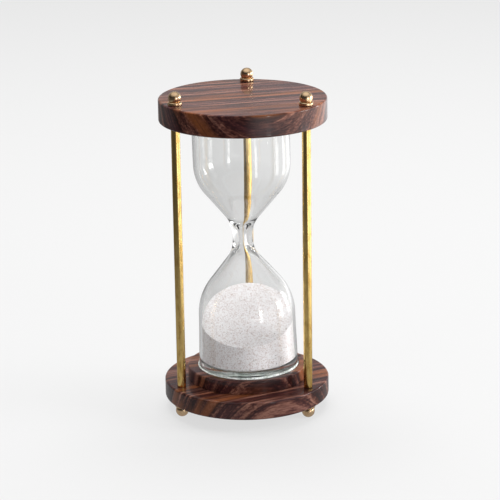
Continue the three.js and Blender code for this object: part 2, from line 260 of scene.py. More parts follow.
@dataclass(frozen=True)
class Bench:
    """Lays and joins the shader nodes of one tree."""

    tree: bpy.types.NodeTree

    def lay(self, kind: str, **settings: Any) -> Node:
        """Adds a node of the given kind and sets its properties."""
        node = self.tree.nodes.new(kind)
        for key, value in settings.items():
            setattr(node, key, value)
        return node

    def feed(self, socket: Socket, value: Any) -> None:
        """Joins a socket to another, or sets its own value when a number or colour is given."""
        if isinstance(value, Socket):
            self.tree.links.new(value, socket)
        elif value is not None:
            socket.default_value = value

    def chain(self, node: Node, *values: Any) -> Socket:
        """Feeds a node's inputs in order and gives its first output."""
        for socket, value in zip(node.inputs, values):
            self.feed(socket, value)
        return node.outputs[0]

    def fill(self, node: Node, **values: Any) -> Node:
        """Feeds a node's inputs by name; underscores in the names stand for spaces."""
        for name, value in values.items():
            self.feed(node.inputs[name.replace("_", " ")], value)
        return node

    def sum(self, operation: str, *values: Any, clamp: bool = False) -> Socket:
        """One step of arithmetic; clamp keeps the result between 0 and 1."""
        return self.chain(self.lay("ShaderNodeMath", operation=operation, use_clamp=clamp), *values)

    def times(self, first: Any, second: Any) -> Socket:
        """The product of two numbers."""
        return self.sum("MULTIPLY", first, second)

    def plus(self, first: Any, second: Any) -> Socket:
        """The sum of two numbers."""
        return self.sum("ADD", first, second)

    def minus(self, first: Any, second: Any) -> Socket:
        """The first number less the second."""
        return self.sum("SUBTRACT", first, second)

    def most(self, first: Any, *others: Any) -> Socket:
        """The largest of some numbers."""
        for other in others:
            first = self.sum("MAXIMUM", first, other)
        return first

    def cloud(self, vector: Any, scale: float | Triple, detail: float = 2.0, rough: float = 0.5) -> Socket:
        """Soft noise between 0 and 1, scaled alike or by its own number along each axis."""
        if isinstance(scale, tuple):
            stretch = self.lay("ShaderNodeVectorMath", operation="MULTIPLY")
            vector, scale = self.chain(stretch, vector, scale), 1.0
        noise = self.lay("ShaderNodeTexNoise", noise_dimensions="3D")
        return self.fill(noise, Vector=vector, Scale=scale, Detail=detail, Roughness=rough).outputs[0]

    def fade(self, value: Any, low: float, high: float, to_low: float = 0.0, to_high: float = 1.0) -> Socket:
        """A smooth step: low and under gives to_low, high and over gives to_high."""
        step = self.lay("ShaderNodeMapRange", interpolation_type="SMOOTHSTEP")
        return self.chain(step, value, low, high, to_low, to_high)

    def blend(self, share: Any, first: Any, second: Any) -> Socket:
        """Blends two colours by a share from 0 to 1."""
        node = self.lay("ShaderNodeMix", data_type="RGBA")
        for place, value in zip((0, 6, 7), (share, first, second)):
            self.feed(node.inputs[place], value)
        return node.outputs[2]

    def shades(self, value: Any, stops: Sequence[tuple[float, Triple]]) -> Socket:
        """A scale of colours: each stop is a place from 0 to 1 and its colour."""
        node = self.lay("ShaderNodeValToRGB")
        ramp = node.color_ramp
        for element, (place, colour) in zip(ramp.elements, (stops[0], stops[-1])):
            element.position, element.color = place, (*colour, 1.0)
        for place, colour in stops[1:-1]:
            ramp.elements.new(place).color = (*colour, 1.0)
        return self.chain(node, value)

    def parts(self, vector: Any) -> tuple[Socket, Socket, Socket]:
        """The three numbers of a vector."""
        node = self.lay("ShaderNodeSeparateXYZ")
        self.feed(node.inputs[0], vector)
        return tuple(node.outputs)

    def place(self) -> Socket:
        """The point's place on the piece, in metres."""
        return self.lay("ShaderNodeTexCoord").outputs["Object"]

    def ray(self, kind: str) -> Socket:
        """1 where the light's path is of this kind, else 0."""
        return self.lay("ShaderNodeLightPath").outputs[kind]

    def mix(self, share: Any, first: Socket, second: Socket) -> Socket:
        """Mixes two surfaces by a share from 0 to 1."""
        return self.chain(self.lay("ShaderNodeMixShader"), share, first, second)

    def relief(self, height: Any, depth: float, strength: float) -> Socket:
        """A normal from a height between 0 and 1 that stands for the depth in metres."""
        bump = self.lay("ShaderNodeBump")
        return self.fill(bump, Strength=strength, Distance=depth, Height=height).outputs[0]

    def use(self, group: bpy.types.NodeTree, **values: Any) -> Any:
        """Places a shared group, feeds its inputs by name and gives its outputs."""
        return self.fill(self.lay("ShaderNodeGroup", node_tree=group), **values).outputs


class Kind(Enum):
    """What a socket of a shared group carries."""

    NUMBER = "NodeSocketFloat"
    COLOUR = "NodeSocketColor"
    VECTOR = "NodeSocketVector"


class SharedEffect:
    """A shader group that several finishes use: its name, inputs and outputs."""

    name: str
    takes: dict[str, Kind]
    gives: dict[str, Kind]

    def tree(self) -> bpy.types.NodeTree:
        """The group's tree, laid once and shared afterwards."""
        found = bpy.data.node_groups.get(self.name)
        if found is None:
            found = bpy.data.node_groups.new(self.name, "ShaderNodeTree")
            for way, sockets in (("INPUT", self.takes), ("OUTPUT", self.gives)):
                for name, kind in sockets.items():
                    found.interface.new_socket(name, in_out=way, socket_type=kind.value)
            bench = Bench(found)
            given = self.lay(bench, bench.lay("NodeGroupInput").outputs)
            bench.fill(bench.lay("NodeGroupOutput"), **given)
        return found

    def lay(self, bench: Bench, takes: Any) -> dict[str, Socket]:
        """Lays the group's nodes and gives its outputs; each effect has its own."""
        raise NotImplementedError


class RosewoodFigure(SharedEffect):
    """Figure of dark rosewood: layers stacked along the vector's first axis that run along its second."""

    name = "rosewood_figure"
    takes = {"Grain": Kind.VECTOR, "Warmth": Kind.NUMBER, "Ink": Kind.NUMBER}
    gives = {"Colour": Kind.COLOUR, "Gloss": Kind.NUMBER, "Relief": Kind.NUMBER}
    GROUND = ((0.40, (0.009, 0.002, 0.002)), (0.47, (0.029, 0.007, 0.006)),
              (0.53, (0.085, 0.029, 0.021)), (0.62, (0.260, 0.120, 0.084)))
    WARM: Colour = (0.29, 0.092, 0.028, 1.0)
    PURPLE: Colour = (0.052, 0.016, 0.022, 1.0)
    INK: Colour = (0.016, 0.005, 0.006, 1.0)
    PORE: Colour = (0.020, 0.008, 0.006, 1.0)

    def lay(self, bench: Bench, takes: Any) -> dict[str, Socket]:
        """Growth layers, finer fibres, warm and purple zones, thin ink lines and short open pores."""
        grain = takes["Grain"]
        across, along, side = bench.parts(grain)
        bow = bench.times(bench.cloud(grain, (30.0, 9.0, 18.0)), 2.6 * MM)
        sway = bench.times(bench.cloud(grain, (160.0, 25.0, 120.0), detail=1.0), 0.6 * MM)
        shifted = bench.plus(across, bench.plus(bow, sway))
        bent = bench.chain(bench.lay("ShaderNodeCombineXYZ"), shifted, along, side)
        layers = bench.cloud(bent, (400.0, 12.0, 26.0), detail=4.0, rough=0.62)
        fibres = bench.cloud(bent, (1700.0, 110.0, 900.0), detail=3.0, rough=0.65)
        zones = bench.cloud(bent, (110.0, 10.0, 22.0))
        lines = bench.cloud(bent, (210.0, 7.0, 14.0), detail=1.5)
        ink = bench.minus(1.0, bench.fade(bench.sum("ABSOLUTE", bench.minus(lines, 0.5)), 0.004, 0.03))
        pores = bench.fade(bench.cloud(grain, (5200.0, 330.0, 5200.0), detail=1.0), 0.60, 0.72)
        light = bench.plus(bench.times(layers, 0.66), bench.times(fibres, 0.34))
        colour = bench.shades(light, self.GROUND)
        for share, shade in ((bench.times(bench.fade(zones, 0.5, 0.64), takes["Warmth"]), self.WARM),
                             (bench.times(bench.fade(zones, 0.48, 0.32), 0.5), self.PURPLE),
                             (bench.times(ink, takes["Ink"]), self.INK),
                             (bench.times(pores, 0.75), self.PORE)):
            colour = bench.blend(share, colour, shade)
        gloss = bench.fade(fibres, 0.3, 0.7, 0.30, 0.46)
        return {"Colour": colour, "Gloss": gloss, "Relief": bench.minus(bench.times(fibres, 0.5), pores)}


class BrassPatina(SharedEffect):
    """Wear of bare brass: draw lines along the third axis, cloudy tarnish and small dark spots."""

    name = "brass_patina"
    takes = {"Place": Kind.VECTOR, "Clean": Kind.COLOUR, "Aged": Kind.COLOUR, "Tarnish": Kind.NUMBER,
             "Spots": Kind.NUMBER}
    gives = {"Colour": Kind.COLOUR, "Haze": Kind.NUMBER, "Relief": Kind.NUMBER}

    def lay(self, bench: Bench, takes: Any) -> dict[str, Socket]:
        """Mixes clean metal with its aged shade by clouds, draw lines and spots."""
        place = takes["Place"]
        clouds = bench.cloud(place, (420.0, 420.0, 150.0), detail=4.0, rough=0.62)
        lines = bench.cloud(place, (2600.0, 2600.0, 40.0))
        spots = bench.fade(bench.cloud(place, 1300.0), 0.62, 0.72)
        worn = bench.plus(bench.times(clouds, 0.75), bench.times(lines, 0.25))
        dull = bench.times(bench.fade(worn, 0.42, 0.66), takes["Tarnish"])
        haze = bench.sum("MAXIMUM", dull, bench.times(spots, takes["Spots"]), clamp=True)
        return {"Colour": bench.blend(haze, takes["Clean"], takes["Aged"]), "Haze": haze,
                "Relief": bench.minus(lines, bench.times(spots, 0.8))}


class Grains(SharedEffect):
    """Loose grains: cells of a stated size, a few of them tan, grey or dark."""

    GREY: Colour = (0.52, 0.50, 0.52, 1.0)

    name = "grains"
    takes = {"Place": Kind.VECTOR, "Per Metre": Kind.NUMBER, "Pale": Kind.COLOUR, "Tan": Kind.COLOUR,
             "Dark": Kind.COLOUR, "Dark Share": Kind.NUMBER}
    gives = {"Colour": Kind.COLOUR, "Relief": Kind.NUMBER}

    def lay(self, bench: Bench, takes: Any) -> dict[str, Socket]:
        """Each cell's own random numbers choose its shade; its middle stands proud."""
        place = takes["Place"]
        cell = bench.lay("ShaderNodeTexVoronoi", feature="F1")
        bench.fill(cell, Vector=place, Scale=takes["Per Metre"])
        first, second, third = bench.parts(cell.outputs["Color"])
        drift = bench.times(bench.cloud(place, 260.0, detail=3.0), 0.35)
        tanned = bench.blend(bench.fade(bench.plus(first, drift), 0.80, 1.15), takes["Pale"], takes["Tan"])
        greyed = bench.blend(bench.times(bench.fade(second, 0.75, 1.0), 0.35), tanned, self.GREY)
        rare = bench.sum("GREATER_THAN", third, bench.minus(1.0, takes["Dark Share"]))
        return {"Colour": bench.blend(rare, greyed, takes["Dark"]),
                "Relief": bench.fade(cell.outputs["Distance"], 0.75, 0.0)}


# ---------------------------------------------------------------- finishes


def blank(owner: Any) -> Bench:
    """An empty bench on the nodes of a material or a world."""
    owner.use_nodes = True
    owner.node_tree.nodes.clear()
    return Bench(owner.node_tree)


@dataclass(frozen=True)
class Finish:
    """A material for one or more pieces. The name is the material's name."""

    name: str

    def material(self) -> bpy.types.Material:
        """The material, made on first use."""
        found = bpy.data.materials.get(self.name)
        if found is None:
            found = bpy.data.materials.new(self.name)
            bench = blank(found)
            surface = bench.lay("ShaderNodeBsdfPrincipled")
            self.paint(bench, surface)
            bench.fill(bench.lay("ShaderNodeOutputMaterial"), Surface=self.skin(bench, surface))
        return found

    def paint(self, bench: Bench, surface: Node) -> None:
        """Sets the surface's sockets; each finish has its own."""
        raise NotImplementedError

    def skin(self, bench: Bench, surface: Node) -> Socket:
        """What light meets: the surface itself."""
        return surface.outputs[0]


@dataclass(frozen=True)
class Rosewood(Finish):
    """Lacquered rosewood: the way its layers face, the way its grain runs, and how warm it is."""

    layers: Triple
    grain: Triple
    shift: Triple
    warmth: float
    ink: float

    def turn(self) -> Triple:
        """Angles that bring the layers' facing to the first axis and the grain to the second."""
        facing = Vector(self.layers).normalized()
        along = (Vector(self.grain) - facing * facing.dot(Vector(self.grain))).normalized()
        return tuple(Matrix((facing, along, facing.cross(along))).to_euler("XYZ"))

    def paint(self, bench: Bench, surface: Node) -> None:
        """Figured wood under a clear, nearly flat lacquer."""
        mapping = bench.lay("ShaderNodeMapping", vector_type="POINT")
        bench.fill(mapping, Vector=bench.place(), Rotation=self.turn(), Location=self.shift)
        figure = bench.use(RosewoodFigure().tree(), Grain=mapping.outputs[0],
                           Warmth=self.warmth, Ink=self.ink)
        bench.fill(surface, Base_Color=figure["Colour"], Roughness=figure["Gloss"],
                   Normal=bench.relief(figure["Relief"], 0.03 * MM, 0.5),
                   Coat_Weight=0.6, Coat_Roughness=0.07, Coat_IOR=1.5, Specular_IOR_Level=0.12)


@dataclass(frozen=True)
class Brass(Finish):
    """Bare brass: clean and aged shades, share of tarnish and spots, and the polish."""

    clean: Colour
    aged: Colour
    tarnish: float
    spots: float
    polish: float
    haze: float
    relief: float = 0.01 * MM

    def paint(self, bench: Bench, surface: Node) -> None:
        """Metal whose colour, roughness and relief follow the shared patina."""
        patina = bench.use(BrassPatina().tree(), Place=bench.place(), Clean=self.clean, Aged=self.aged,
                           Tarnish=self.tarnish, Spots=self.spots)
        bench.fill(surface, Base_Color=patina["Colour"], Metallic=1.0,
                   Roughness=bench.sum("MULTIPLY_ADD", patina["Haze"], self.haze, self.polish),
                   Normal=bench.relief(patina["Relief"], self.relief, 0.6))


@dataclass(frozen=True)
class BlownGlass(Finish):
    """Clear blown glass; light for shadows passes through it, so it shades little."""

    tint: Colour = (0.995, 0.998, 0.995, 1.0)
    shadow: Colour = (0.93, 0.95, 0.94, 1.0)

    def paint(self, bench: Bench, surface: Node) -> None:
        """Smooth refracting glass with a trace of smear on its skin."""
        smear = bench.cloud(bench.place(), (60.0, 60.0, 25.0), detail=3.0)
        bench.fill(surface, Roughness=bench.fade(smear, 0.5, 0.8, 0.0, 0.03), Base_Color=self.tint,
                   Transmission_Weight=1.0, IOR=1.5, Metallic=0.0)

    def skin(self, bench: Bench, surface: Node) -> Socket:
        """What light meets: glass, or nearly nothing for shadows."""
        clear = bench.fill(bench.lay("ShaderNodeBsdfTransparent"), Color=self.shadow)
        return bench.mix(bench.ray("Is Shadow Ray"), surface.outputs[0], clear.outputs[0])


@dataclass(frozen=True)
class QuartzSand(Finish):
    """Fine pinkish white sand with tan, grey and a few dark grains."""

    haze: Colour = (0.69, 0.625, 0.635, 1.0)

    def paint(self, bench: Bench, surface: Node) -> None:
        """Grains under faint clouds of a darker shade."""
        place = bench.place()
        grain = bench.use(Grains().tree(), Place=place, Per_Metre=3000.0, Pale=(0.80, 0.765, 0.785, 1.0),
                          Tan=(0.48, 0.36, 0.34, 1.0), Dark=(0.06, 0.04, 0.045, 1.0), Dark_Share=0.0025)
        dust = bench.fade(bench.cloud(place, 520.0, detail=4.0, rough=0.7), 0.35, 0.75, 0.0, 0.35)
        bench.fill(surface, Base_Color=bench.blend(dust, grain["Colour"], self.haze), Roughness=0.85,
                   Normal=bench.relief(grain["Relief"], 0.12 * MM, 0.5), Specular_IOR_Level=0.35)


@dataclass(frozen=True)
class Adhesive(Finish):
    """Cloudy glue, squeezed out and set."""

    def paint(self, bench: Bench, surface: Node) -> None:
        """Milky, slightly green, glossy and lumpy."""
        lumps = bench.cloud(bench.place(), 1100.0, detail=4.0, rough=0.65)
        milk = bench.shades(lumps, ((0.36, (0.36, 0.41, 0.38)), (0.5, (0.68, 0.73, 0.70)),
                                    (0.62, (0.95, 0.96, 0.95))))
        bench.fill(surface, Base_Color=milk, Roughness=0.2, IOR=1.48,
                   Normal=bench.relief(lumps, 0.5 * MM, 0.8))


@dataclass(frozen=True)
class Cork(Finish):
    """Fine pressed cork."""

    def paint(self, bench: Bench, surface: Node) -> None:
        """Packed brown granules with dark specks."""
        grain = bench.use(Grains().tree(), Place=bench.place(), Per_Metre=1300.0,
                          Pale=(0.52, 0.34, 0.19, 1.0), Tan=(0.36, 0.21, 0.11, 1.0),
                          Dark=(0.10, 0.05, 0.03, 1.0), Dark_Share=0.06)
        bench.fill(surface, Base_Color=grain["Colour"], Normal=bench.relief(grain["Relief"], 0.15 * MM, 0.7),
                   Roughness=0.9, Specular_IOR_Level=0.2)


WOOD_TOP = Rosewood("rosewood_top", layers=(-0.268, 0.823, -0.5), grain=(0.951, 0.309, 0.0),
                    shift=(0.058, 0.012, 0.004), warmth=0.5, ink=0.4)
WOOD_BASE = Rosewood("rosewood_base", layers=(-0.45, 0.77, 0.45), grain=(0.863, 0.505, 0.0),
                     shift=(0.117, 0.043, 0.021), warmth=0.45, ink=0.7)
WOOD_PLINTH = Rosewood("rosewood_plinth", layers=(-0.3, 0.8, 0.35), grain=(0.936, 0.351, 0.0),
                       shift=(0.265, 0.081, 0.034), warmth=0.5, ink=0.5)
PILLAR_BRASS = Brass("aged_pillar_brass", clean=(0.99, 0.71, 0.265, 1.0), aged=(0.52, 0.26, 0.03, 1.0),
                     tarnish=0.66, spots=0.55, polish=0.14, haze=0.22)
NUT_BRASS = Brass("bright_nut_brass", clean=(0.93, 0.66, 0.40, 1.0), aged=(0.52, 0.28, 0.13, 1.0),
                  tarnish=0.45, spots=0.25, polish=0.24, haze=0.15, relief=0.006 * MM)
ROD_BRASS = Brass("drawn_rod_brass", clean=(0.72, 0.55, 0.25, 1.0), aged=(0.28, 0.18, 0.06, 1.0),
                  tarnish=0.6, spots=0.4, polish=0.25, haze=0.3)
GLASS = BlownGlass("clear_blown_glass")
SAND = QuartzSand("quartz_sand")
GLUE = Adhesive("set_glue")
CORK = Cork("pressed_cork")


# ---------------------------------------------------------------- the timer's pieces


class Slot(Enum):
    """Names for the kinds of material."""

    WOOD = "rosewood"
    PILLAR = "pillar_brass"
    NUT = "nut_brass"
    ROD = "rod_brass"
    GLASS = "blown_glass"
    SAND = "sand"
    GLUE = "glue"
    CORK = "cork"


def fit(piece: Piece, finish: Finish, slot: Slot, body: str, *nodes: str) -> Piece:
    """Dresses a piece, sets it on its body and lets it stand for its solids.

    Args:
        piece: The piece.
        finish: Its material.
        slot: Not used.
        body: The body it rides on.
        nodes: The solids it stands for.

    Returns:
        The piece.
    """
    piece.data.materials.clear()
    piece.data.materials.append(finish.material())
    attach(piece, body)
    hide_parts(*nodes)
    piece.data.calc_loop_triangles()
    LOG.info("%s: %d triangles, for %s", piece.name, len(piece.data.loop_triangles), ", ".join(nodes))
    return piece


@dataclass(frozen=True)
class Extent:
    """A solid's box, read from the frame: middle, levels and half width."""

    middle: Pair
    low: float
    high: float
    out: float

    @classmethod
    def of(cls, node: str) -> "Extent":
        """Reads the box of one solid."""
        low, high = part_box(node)
        return cls(((low[0] + high[0]) / 2, (low[1] + high[1]) / 2), low[2], high[2],
                   max(high[0] - low[0], high[1] - low[1]) / 2)


@dataclass(frozen=True)
class Pillars:
    """Three brass tubes over threaded tie rods, at even angles round the timer."""

    names: tuple[str, ...] = ("back", "left", "right")
    body: str = "timer_frame"
    bore: float = 1.5 * MM
    pitch: float = 0.45 * MM
    thread_depth: float = 0.2 * MM
    thread_length: float = 17.0 * MM
    end_edge: float = 0.25 * MM
    rod_tip: float = 0.2 * MM
    around: int = 48
    rod_around: int = 28
    rows_per_pitch: int = 6
    plain_rows: int = 14

    def centres(self) -> list[Pair]:
        """Where the three pillars stand."""
        return [Extent.of(f"pillar_{name}").middle for name in self.names]

    def tube(self, name: str) -> Piece:
        """One drawn tube: a wall from the bore to the outside, its four edges broken."""
        box = Extent.of(f"pillar_{name}")
        edge = self.end_edge
        wall = outline([Corner(self.bore, box.low), Corner(box.out, box.low, edge),
                        Corner(box.out, box.high, edge), Corner(self.bore, box.high, 0.1 * MM),
                        Corner(self.bore, box.low)], longest=6.0 * MM, step=22.0)[:-1]
        grid = turned(wall, self.around, box.middle)
        return fit(shell(f"drawn_tube_{name}", grid, ring=True), PILLAR_BRASS, Slot.PILLAR, self.body,
                   f"pillar_{name}")

    def rod(self, name: str) -> Piece:
        """One tie rod: a right-hand thread near both ends and a plain middle.

        The radius falls from the crest by the thread's depth times a triangle wave of
        (height / pitch - angle / turn), faded in over one pitch at each end of the thread.
        """
        box = Extent.of(f"tie_rod_{name}")
        low = np.arange(box.low, box.low + self.thread_length, self.pitch / self.rows_per_pitch)
        high = box.high - (low - box.low)[::-1]
        plain = np.linspace(low[-1], high[0], self.plain_rows)[1:-1]
        up = np.concatenate([low, plain, high])
        angle = bearings(self.rod_around)
        wave = np.abs(((up[:, None] / self.pitch - angle / (2 * math.pi)) % 1.0) * 2 - 1)
        ends = np.minimum(up - box.low, box.high - up)
        share = np.clip((self.thread_length - ends) / self.pitch, 0, 1)
        share = share * np.clip(ends / (0.5 * self.pitch), 0.15, 1)
        tip = np.clip((self.rod_tip - ends) / self.rod_tip, 0, 1) * self.rod_tip
        out = box.out - wave * (self.thread_depth * share)[:, None] - tip[:, None]
        foot, head = (swept(np.zeros((1, 1)), angle, level, box.middle) for level in (box.low, box.high))
        grid = np.concatenate([foot, swept(out, angle, up[:, None], box.middle), head])
        return fit(shell(f"threaded_rod_{name}", grid, sharp=50.0), ROD_BRASS, Slot.ROD, self.body,
                   f"tie_rod_{name}")

    def build(self) -> None:
        """Makes the three tubes and the three rods."""
        for name in self.names:
            self.tube(name)
            self.rod(name)


@dataclass(frozen=True)
class BallNuts:
    """Ball nuts and their rings, above the top plate and below the base plate."""

    pillars: Pillars
    ends: tuple[str, ...] = ("top", "foot")
    bore: float = 1.5 * MM
    thread_bore: float = 1.45 * MM
    seat: float = 1.65 * MM
    hole_end: float = 4.6 * MM
    ball_middle: float = 3.2 * MM
    ball_radius: float = 2.95 * MM
    flat: float = 6.0 * MM
    ring_height: float = 1.6 * MM
    ring_round: float = 0.7 * MM
    gap: float = 0.05 * MM
    around: int = 72
    ball_rows: int = 44

    def face(self, end: str) -> Pair:
        """The height of the plate's face that the nut sits on, and +1 for up or -1 for down."""
        return (Extent.of("top_plate").high, 1.0) if end == "top" else (Extent.of("base_plate").low, -1.0)

    def stand(self, name: str, node: str, end: str, wall: Points, ring: bool) -> Piece:
        """Turns an outline measured from the plate's face and sets it on the body named like its solid."""
        face, way = self.face(end)
        wall = np.stack([wall[:, 0], face + way * wall[:, 1]], axis=-1)
        piece = shell(name, turned(wall, self.around, Extent.of(node).middle), ring=ring)
        return fit(piece, NUT_BRASS, Slot.NUT, node, node)

    def ring(self, end: str, name: str) -> Piece:
        """One turned ring: a washer whose outer edge swells in a half round, with a fine step on its top."""
        node = f"{end}_ring_{name}"
        low, tall, out, bore = self.gap, self.ring_height, Extent.of(node).out, self.bore
        wall = outline([Corner(bore, low), Corner(out - 0.15 * MM, low, 0.1 * MM),
                        Corner(out, 0.3 * MM, 0.2 * MM), Corner(out, tall - 0.05 * MM, self.ring_round),
                        Corner(bore + 0.55 * MM, tall, 0.1 * MM), Corner(bore, tall - 0.08 * MM),
                        Corner(bore, low)], longest=1.0 * MM, step=10.0, near=0.05 * MM)[:-1]
        return self.stand(f"turned_ring_{end}_{name}", node, end, wall, True)

    def ball(self, end: str, name: str) -> Piece:
        """One ball nut: a ball cut flat at its seat and its tip, with a blind threaded hole.

        The ball's outline is (radius cos t, middle + radius sin t), from the seat to the flat.
        """
        middle, radius, seat, bore = self.ball_middle, self.ball_radius, self.seat, self.thread_bore
        start, stop = (math.asin((level - middle) / radius) for level in (seat, self.flat))
        sweep = np.linspace(start, stop, self.ball_rows)
        skin = np.stack([radius * np.cos(sweep), middle + radius * np.sin(sweep)], -1)
        hole = outline([Corner(0.0, self.hole_end), Corner(bore, self.hole_end - 0.5 * MM),
                        Corner(bore, seat + 0.15 * MM), Corner(bore + 0.15 * MM, seat),
                        Corner(float(skin[0, 0]) - 0.06 * MM, seat)], longest=0.8 * MM, near=0.04 * MM)
        tip = np.array([(float(skin[-1, 0]) * 0.8, self.flat), (0.0, self.flat)])
        wall = np.concatenate([hole, skin[1:], tip])
        return self.stand(f"ball_nut_{end}_{name}", f"{end}_ball_{name}", end, wall, False)

    def build(self) -> None:
        """Makes the six rings and the six ball nuts."""
        for end in self.ends:
            for name in self.pillars.names:
                self.ring(end, name)
                self.ball(end, name)


@dataclass(frozen=True)
class Plates:
    """The two round plates and the raised plinth that the glass stands in."""

    pillars: Pillars
    body: str = "timer_frame"
    edge: float = 0.8 * MM
    plinth_edge: float = 0.6 * MM
    low_edge: float = 0.15 * MM
    mouth_edge: float = 0.25 * MM
    fillet: float = 0.3 * MM
    socket_depth: float = 3.0 * MM
    plinth_socket: float = 23.35 * MM
    plinth_shift: float = 0.85 * MM
    top_socket: float = 23.7 * MM
    longest: float = 2.5 * MM
    step: float = 12.0
    around: int = 256

    def board(self, name: str, node: str, finish: Finish, inner: Sequence[Corner]) -> Piece:
        """One plate: a disc with softened rims, drilled for the rods.

        Args:
            name: The piece's name.
            node: The solid it stands for.
            finish: Its wood.
            inner: The corners of its underside, from the middle outwards.

        Returns:
            The plate.
        """
        box = Extent.of(node)
        rim = [Corner(box.out, level, self.edge) for level in (box.low, box.high)]
        wall = outline([*inner, *rim, Corner(0.0, box.high)], longest=self.longest, step=self.step)
        piece = shell(name, turned(wall, self.around))
        drill(piece, self.pillars.centres(), self.pillars.bore, box.low - MM, box.high + MM)
        return fit(piece, finish, Slot.WOOD, self.body, node)

    def top(self) -> Piece:
        """The top plate, with a shallow round socket in its underside."""
        low, socket = Extent.of("top_plate").low, self.top_socket
        roof = low + self.socket_depth
        return self.board("top_board", "top_plate", WOOD_TOP, [
            Corner(0.0, roof), Corner(socket, roof, self.fillet), Corner(socket, low, self.mouth_edge)])

    def base(self) -> Piece:
        """The base plate, plain underneath."""
        return self.board("base_board", "base_plate", WOOD_BASE, [Corner(0.0, Extent.of("base_plate").low)])

    def plinth(self) -> Piece:
        """The plinth: a low disc whose socket hugs the glass, so it sits a little to one side."""
        box, hug = Extent.of("base_plinth"), self.plinth_socket
        floor = box.high - self.socket_depth
        wall = outline([Corner(0.0, box.low), Corner(box.out, box.low, self.low_edge),
                        Corner(box.out, box.high, self.plinth_edge),
                        Corner(hug, box.high, self.mouth_edge), Corner(hug, floor, self.fillet),
                        Corner(0.0, floor)], longest=self.longest, step=self.step)
        grid = turned(wall, self.around)
        grid[..., 0] += np.where(wall[:, None, 0] < hug + self.fillet, self.plinth_shift, 0.0)
        return fit(shell("plinth_board", grid), WOOD_PLINTH, Slot.WOOD, self.body, "base_plinth")

    def build(self) -> None:
        """Makes the three boards."""
        self.top()
        self.base()
        self.plinth()


@dataclass(frozen=True)
class Lean:
    """The slight lean of the hand-set glass about a level line through a pivot on the timer's axis."""

    angle: float
    pivot: float

    def apply(self, grid: Points) -> Points:
        """Turns points about the pivot, the top going left: x cos - h sin, y, pivot + x sin + h cos."""
        x, up = grid[..., 0], grid[..., 2] - self.pivot
        c, s = math.cos(self.angle), math.sin(self.angle)
        return np.stack([x * c - up * s, grid[..., 1], self.pivot + x * s + up * c], axis=-1)


